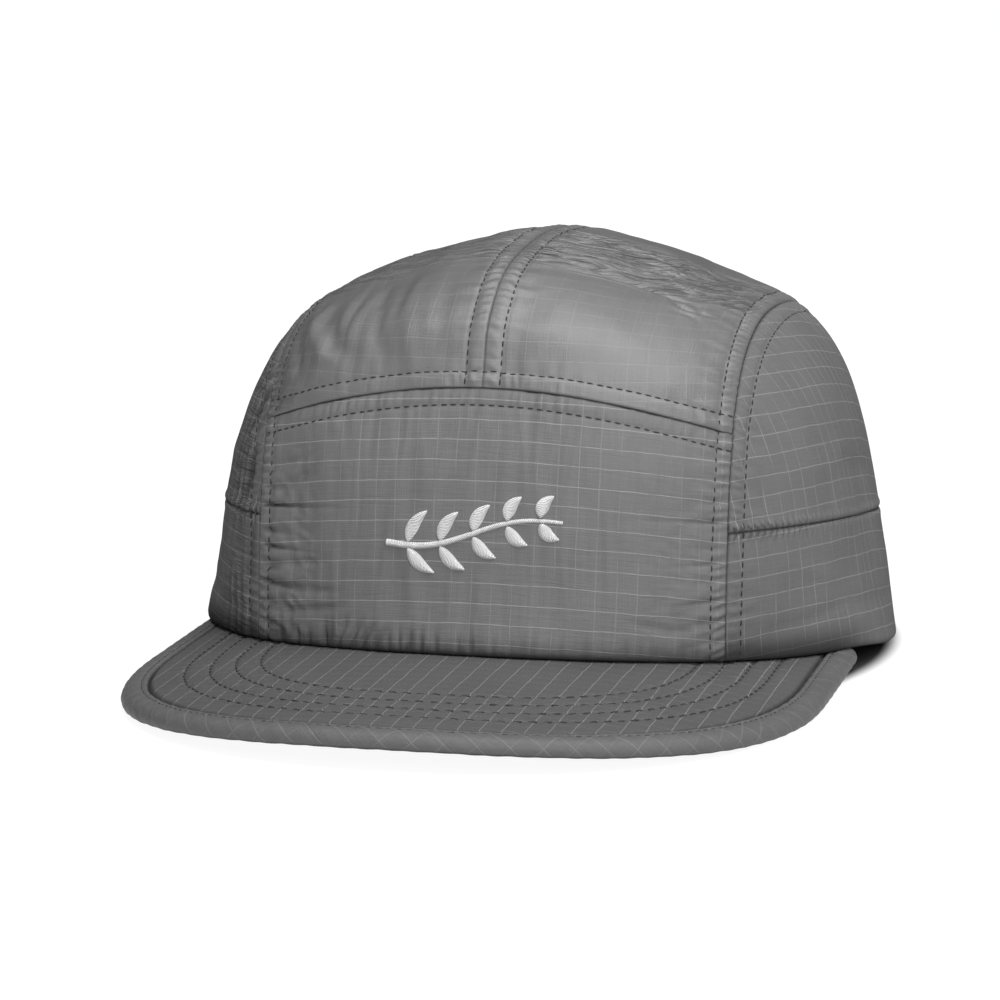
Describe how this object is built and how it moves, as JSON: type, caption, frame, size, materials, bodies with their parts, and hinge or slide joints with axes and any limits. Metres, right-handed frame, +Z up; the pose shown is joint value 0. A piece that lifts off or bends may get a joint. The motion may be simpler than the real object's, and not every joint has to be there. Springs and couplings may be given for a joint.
{
  "type": "five panel cap",
  "caption": "Soft camp style cap in grey ripstop cloth with a wide front panel, a low rounded crown and a flat bound brim.",
  "frame": {"origin": "middle of the cap's box on the floor that it stands on", "axes": "+Z up, -Y towards the front of the brim, +X to the wearer's left"},
  "size_m": [0.1741, 0.2616, 0.1025],
  "materials": {
    "crown_cloth": "thin ripstop weave with a soft sheen",
    "brim_cloth": "ripstop weave over a stiff board",
    "binding_cloth": "bias cut ripstop",
    "strap_webbing": "flat woven webbing",
    "clasp_plastic": "fine grained matt plastic"
  },
  "bodies": {
    "root": {"front_panel": "crown_cloth", "top_panel_right": "crown_cloth", "top_panel_left": "crown_cloth", "side_upper_right": "crown_cloth", "side_upper_left": "crown_cloth", "side_lower_right": "crown_cloth", "side_lower_left": "crown_cloth", "brim": "brim_cloth", "brim_binding": "binding_cloth", "back_strap": "strap_webbing", "strap_clasp": "clasp_plastic"}
  },
  "joints": []
}
